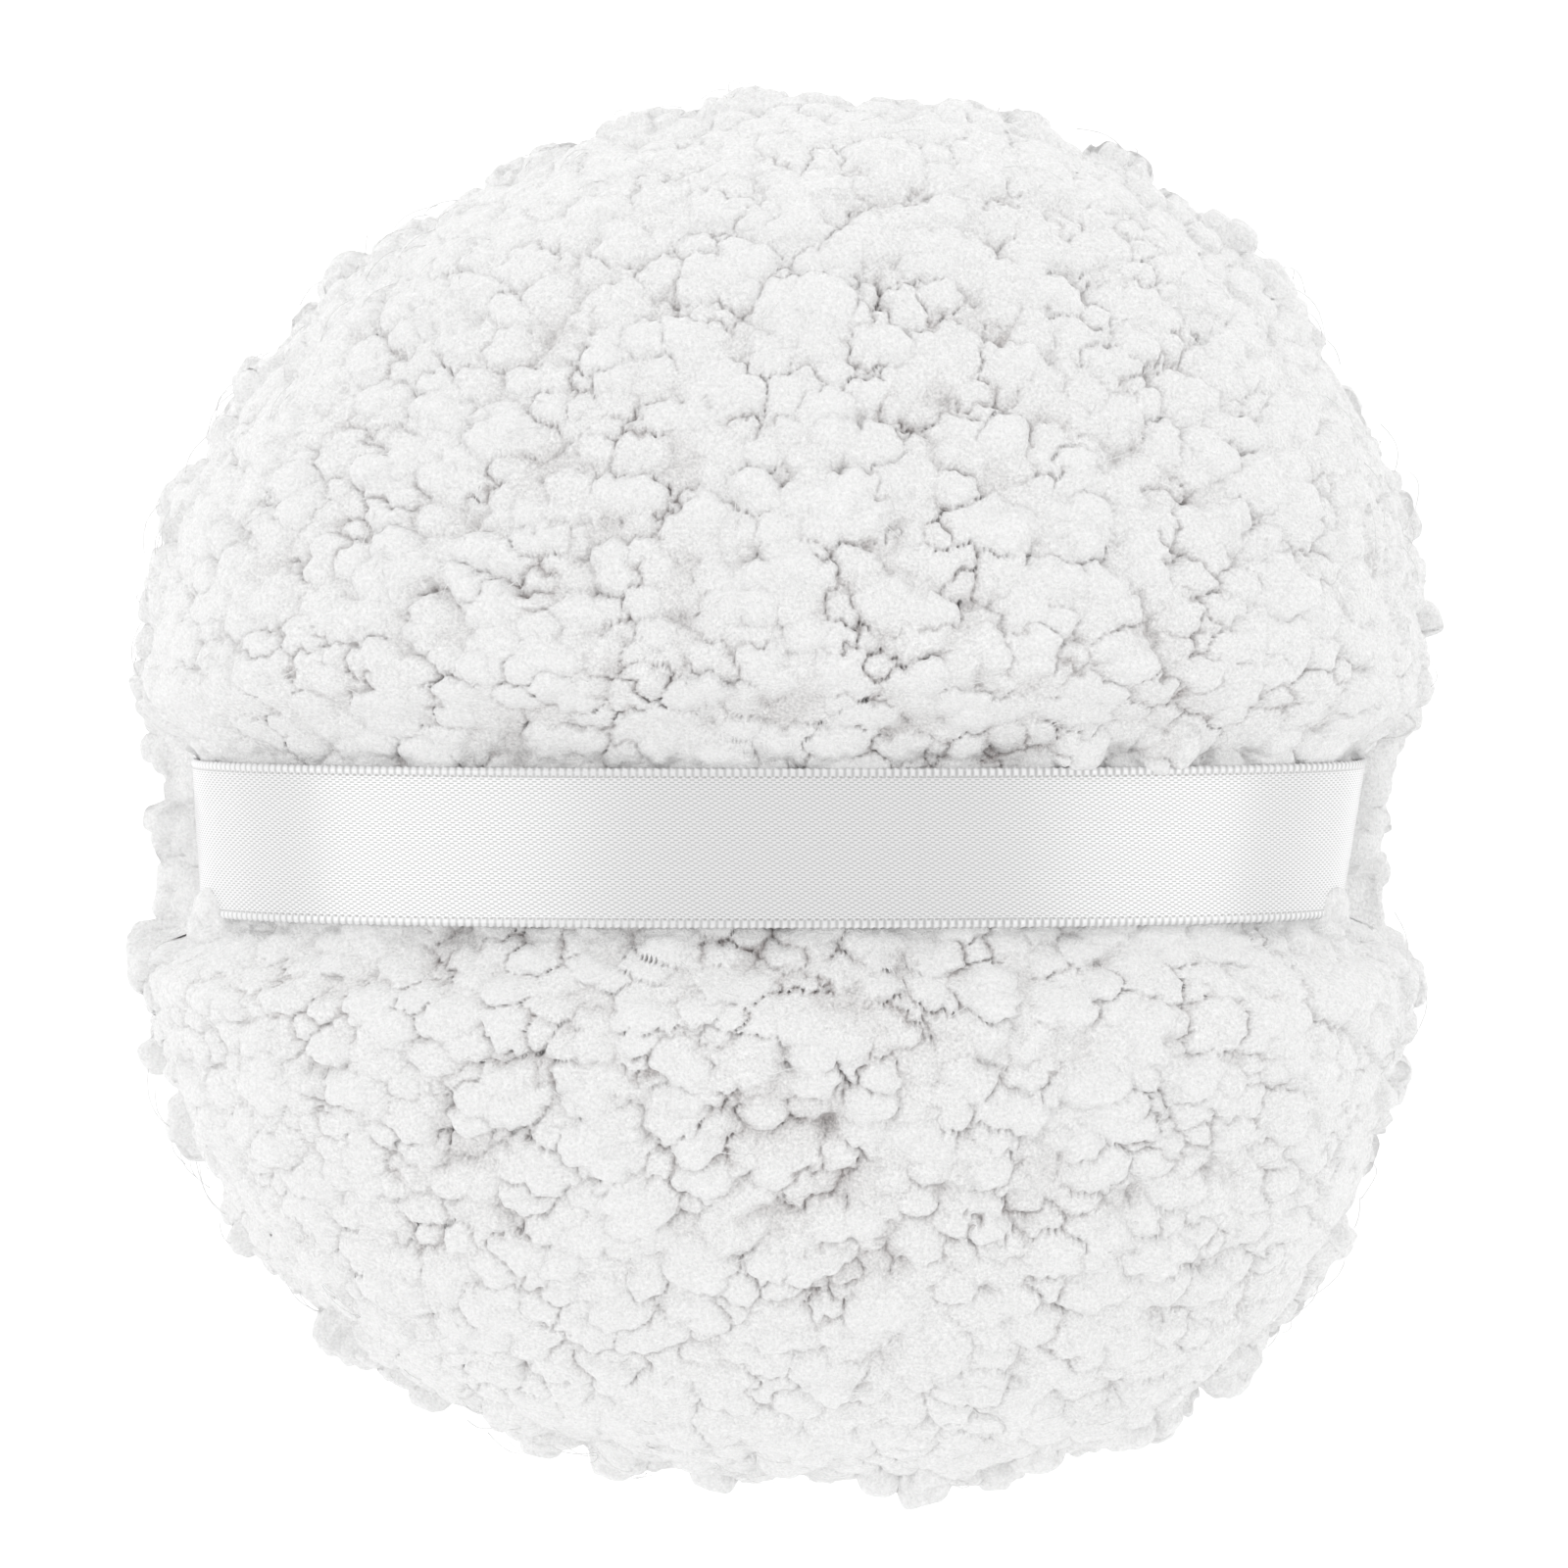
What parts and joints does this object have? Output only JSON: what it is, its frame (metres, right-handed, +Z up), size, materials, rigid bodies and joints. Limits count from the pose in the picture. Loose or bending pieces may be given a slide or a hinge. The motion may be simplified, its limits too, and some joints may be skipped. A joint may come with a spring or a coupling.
{
  "type": "powder puff",
  "caption": "Round plush powder puff: two domed pile-cloth panels seamed over a soft filling, with a satin ribbon strap across the back that the fingers slip under.",
  "frame": {"origin": "middle of the puff's outline, on the surface that it lies on, face down", "axes": "+Z up out of the back, where the strap is; +X along the strap; +Y across the strap, towards the upper edge in the picture"},
  "size_m": [0.0848, 0.0914, 0.0416],
  "materials": {
    "pile": "white tufted polyester pile, matt and felted",
    "ground_cloth": "white knitted ground of the pile cloth, matt",
    "fibre": "loose white polyester fibre",
    "thread": "white spun polyester sewing thread",
    "satin": "white satin ribbon, soft sheen across its length"
  },
  "bodies": {
    "puff": {"filling": "fibre", "back_ground": "ground_cloth", "face_ground": "ground_cloth", "back_pile": "pile", "face_pile": "pile", "seam_thread": "thread", "closing_thread": "thread", "strap_right_arm": "satin", "strap_left_arm": "satin"},
    "strap": {"strap_span": "satin"}
  },
  "joints": [
    {"name": "strap_lift", "type": "slide", "parent": "puff", "child": "strap", "axis": [0, 0, 1], "range_m": [0, 0.008], "stiffness_N_per_m": 25, "deforming": ["strap_right_arm", "strap_left_arm"]}
  ]
}
